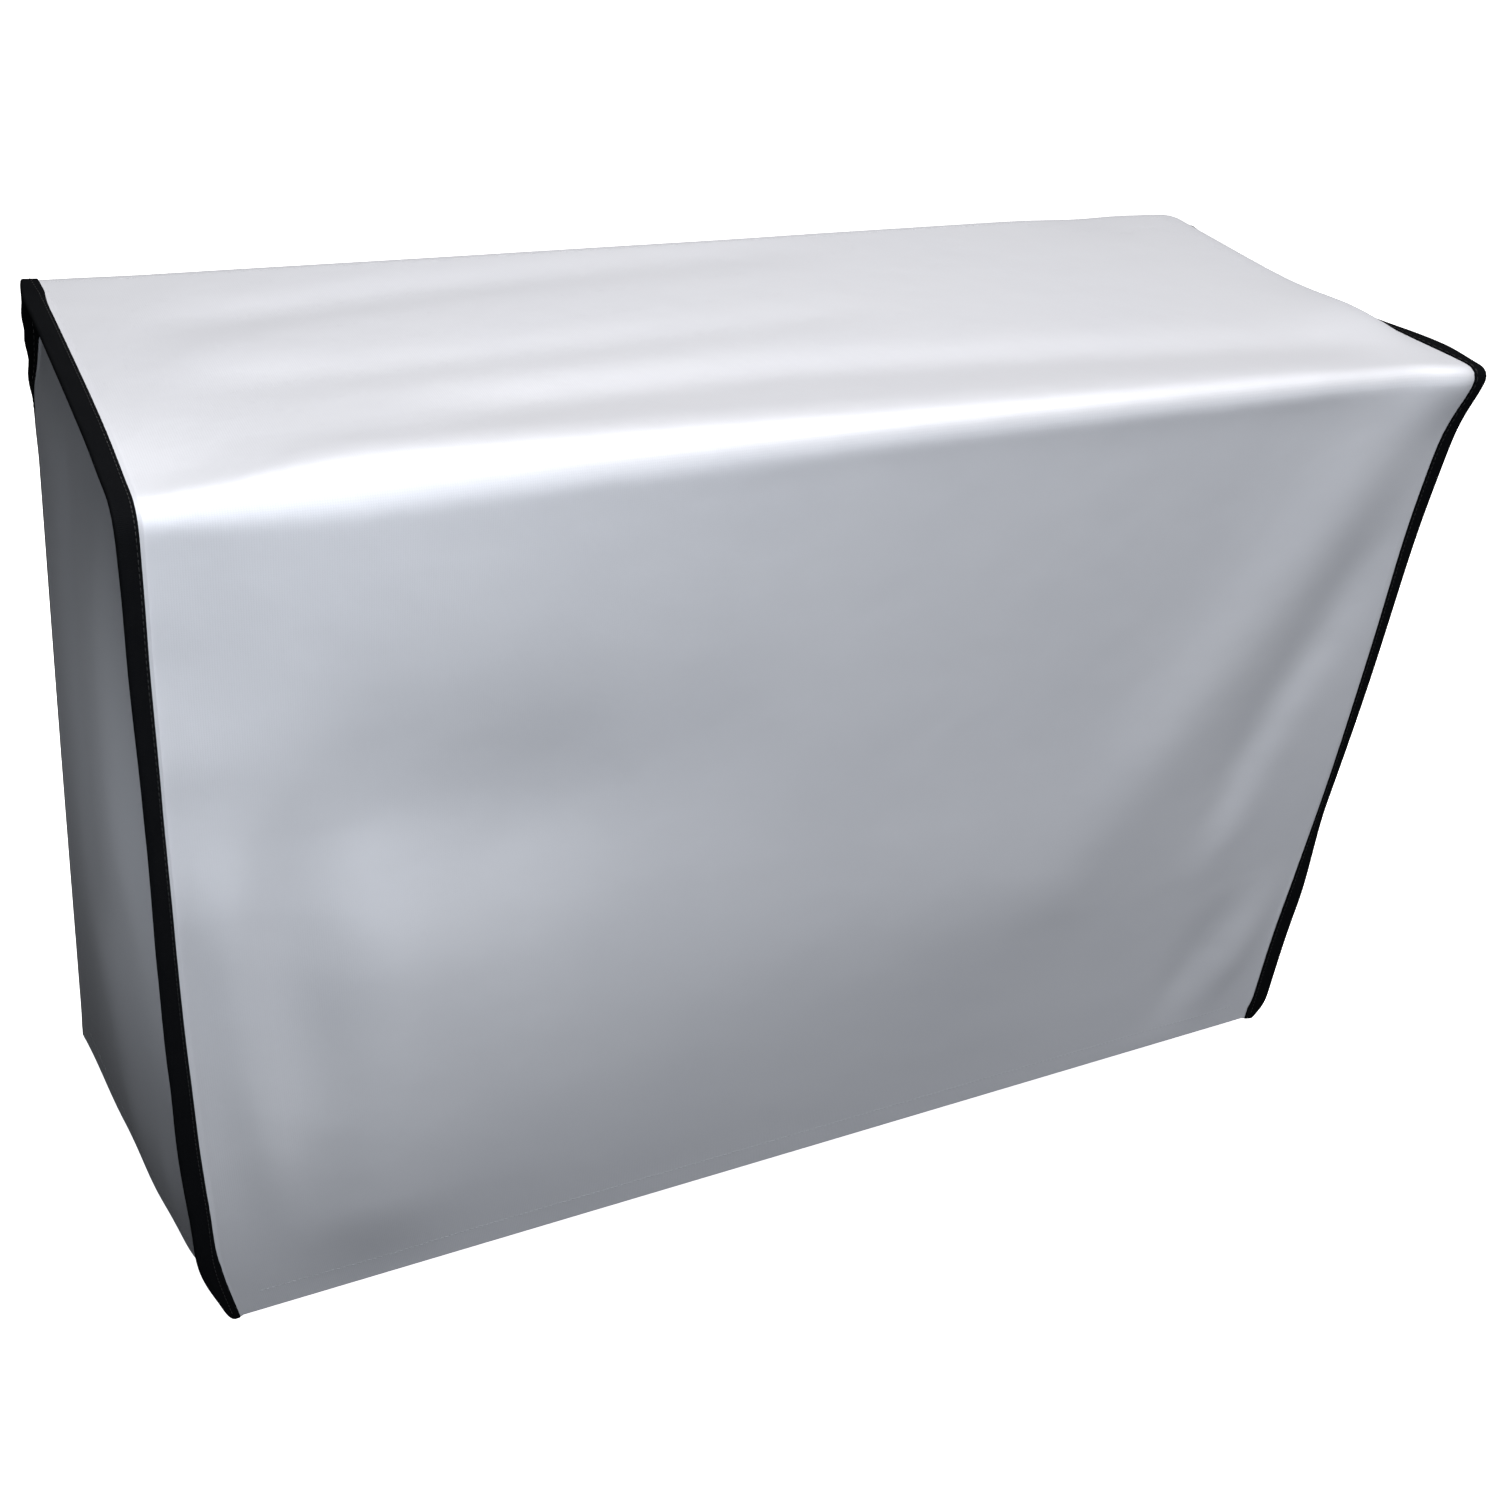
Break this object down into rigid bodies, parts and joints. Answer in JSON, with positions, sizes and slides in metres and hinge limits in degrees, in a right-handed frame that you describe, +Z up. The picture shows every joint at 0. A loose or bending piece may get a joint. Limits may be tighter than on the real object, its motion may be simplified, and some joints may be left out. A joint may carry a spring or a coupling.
{
  "type": "air conditioner cover",
  "caption": "Fitted silver cloth cover that slips over a split air conditioner's outdoor unit, open underneath, with flanged end seams bound in black tape.",
  "frame": {"origin": "middle of the underside of the cover's top, where it lies on the unit", "axes": "+X to the right for someone facing the front panel, +Y from the front panel to the back, +Z up"},
  "size_m": [0.8337, 0.3157, 0.5592],
  "materials": {
    "silver_cloth": "satin aluminium-silver coating over a fine plain weave",
    "black_tape": "matt woven tape"
  },
  "bodies": {
    "root": {"front_top_back_strip": "silver_cloth", "left_side_panel": "silver_cloth", "right_side_panel": "silver_cloth", "left_binding_tape": "black_tape", "right_binding_tape": "black_tape"}
  },
  "joints": []
}
